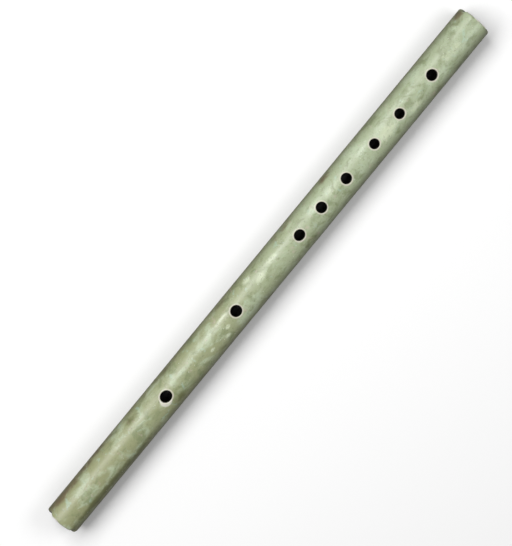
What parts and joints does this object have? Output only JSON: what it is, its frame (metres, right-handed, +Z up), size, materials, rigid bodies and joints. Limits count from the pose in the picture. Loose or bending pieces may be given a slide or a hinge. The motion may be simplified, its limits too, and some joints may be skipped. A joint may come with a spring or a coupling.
{
  "type": "transverse flute",
  "caption": "Round jade tube bored from end to end, with a row of blowing, membrane and finger holes along its top and a wax-faced plug sliding in the bore.",
  "frame": {"origin": "on the surface that the flute lies on, under the middle of its length and of its width", "axes": "+X along the tube from the head end to the foot end; +Z up through the row of holes; +Y across the tube"},
  "size_m": [0.55, 0.0314, 0.0314],
  "materials": {
    "jade": "satin",
    "boxwood": "satin",
    "waxed_thread": "matte",
    "beeswax": "satin"
  },
  "bodies": {
    "tube": {"jade_tube": "jade"},
    "stopper": {"stopper_plug": "boxwood", "thread_lapping": "waxed_thread", "wax_seal": "beeswax"}
  },
  "joints": [
    {"name": "stopper_slide", "type": "slide", "parent": "tube", "child": "stopper", "axis": [1, 0, 0], "range_m": [-0.122, 0.003]}
  ]
}
